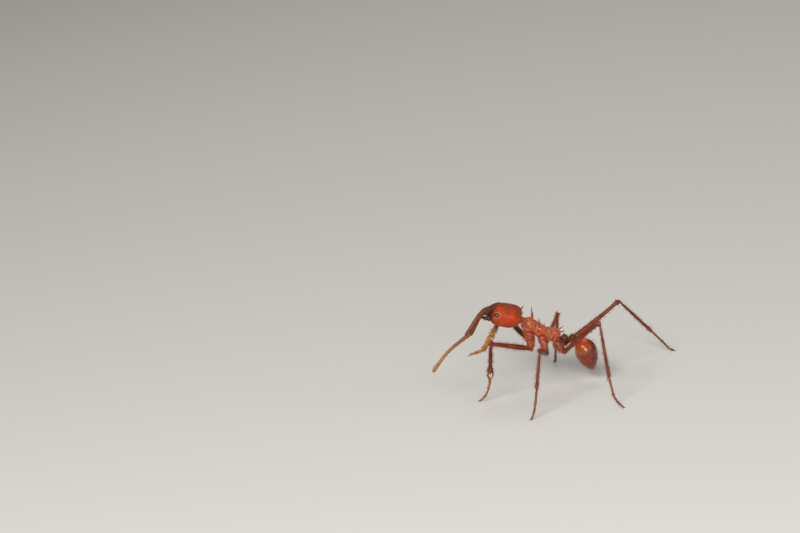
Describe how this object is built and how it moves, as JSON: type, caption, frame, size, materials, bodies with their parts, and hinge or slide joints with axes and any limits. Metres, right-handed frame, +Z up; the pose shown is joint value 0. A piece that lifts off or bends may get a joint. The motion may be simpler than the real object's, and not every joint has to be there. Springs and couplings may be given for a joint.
{
  "type": "leafcutter ant model",
  "caption": "Still life-size model of a leafcutter ant walking with one foreleg lifted: heart-shaped head, elbowed antennae, spiny thorax, knobbed waist and oval gaster.",
  "frame": {"origin": "middle of the stance on the floor, which the feet stand on at z = 0", "axes": "+X towards the rear of the ant, which faces -X; +Y to its right side; +Z up"},
  "size_m": [0.0199, 0.0136, 0.0077],
  "materials": {
    "shell_head": "orange-red shell with a satin shine, fine grain",
    "shell_thorax": "orange-red shell, wrinkled and knobbly, low shine",
    "shell_waist": "dark red-brown shell, grained, low shine",
    "shell_gaster": "amber-brown shell, smooth and glossy, darker bands at the tip",
    "limb": "red-brown shell, satin, with sparse pale bristles",
    "tarsus": "golden-brown shell, satin",
    "funiculus": "pale tan, matte, with a fine down",
    "mandible": "dark brown, polished at the teeth",
    "eye": "near-black, faceted, glossy"
  },
  "bodies": {
    "root": {"head": "shell_head", "mandible_left": "mandible", "mandible_right": "mandible", "eye_left": "eye", "eye_right": "eye", "pronotum": "shell_thorax", "mesothorax": "shell_thorax", "propodeum": "shell_thorax", "petiole": "shell_waist", "postpetiole": "shell_waist", "gaster": "shell_gaster", "gaster_tip": "shell_gaster", "scape_left": "limb", "funiculus_left": "funiculus", "club_left": "funiculus", "scape_right": "limb", "funiculus_right": "funiculus", "club_right": "funiculus", "fore_left_coxa": "limb", "fore_left_femur": "limb", "fore_left_tibia": "limb", "fore_left_tarsus": "tarsus", "fore_left_foot": "tarsus", "fore_right_coxa": "limb", "fore_right_femur": "limb", "fore_right_tibia": "limb", "fore_right_tarsus": "tarsus", "fore_right_foot": "tarsus", "mid_left_coxa": "limb", "mid_left_femur": "limb", "mid_left_tibia": "limb", "mid_left_tarsus": "tarsus", "mid_left_foot": "tarsus", "mid_right_coxa": "limb", "mid_right_femur": "limb", "mid_right_tibia": "limb", "mid_right_tarsus": "tarsus", "mid_right_foot": "tarsus", "hind_left_coxa": "limb", "hind_left_femur": "limb", "hind_left_tibia": "limb", "hind_left_tarsus": "tarsus", "hind_left_foot": "tarsus", "hind_right_coxa": "limb", "hind_right_femur": "limb", "hind_right_tibia": "limb", "hind_right_tarsus": "tarsus", "hind_right_foot": "tarsus"}
  },
  "joints": []
}
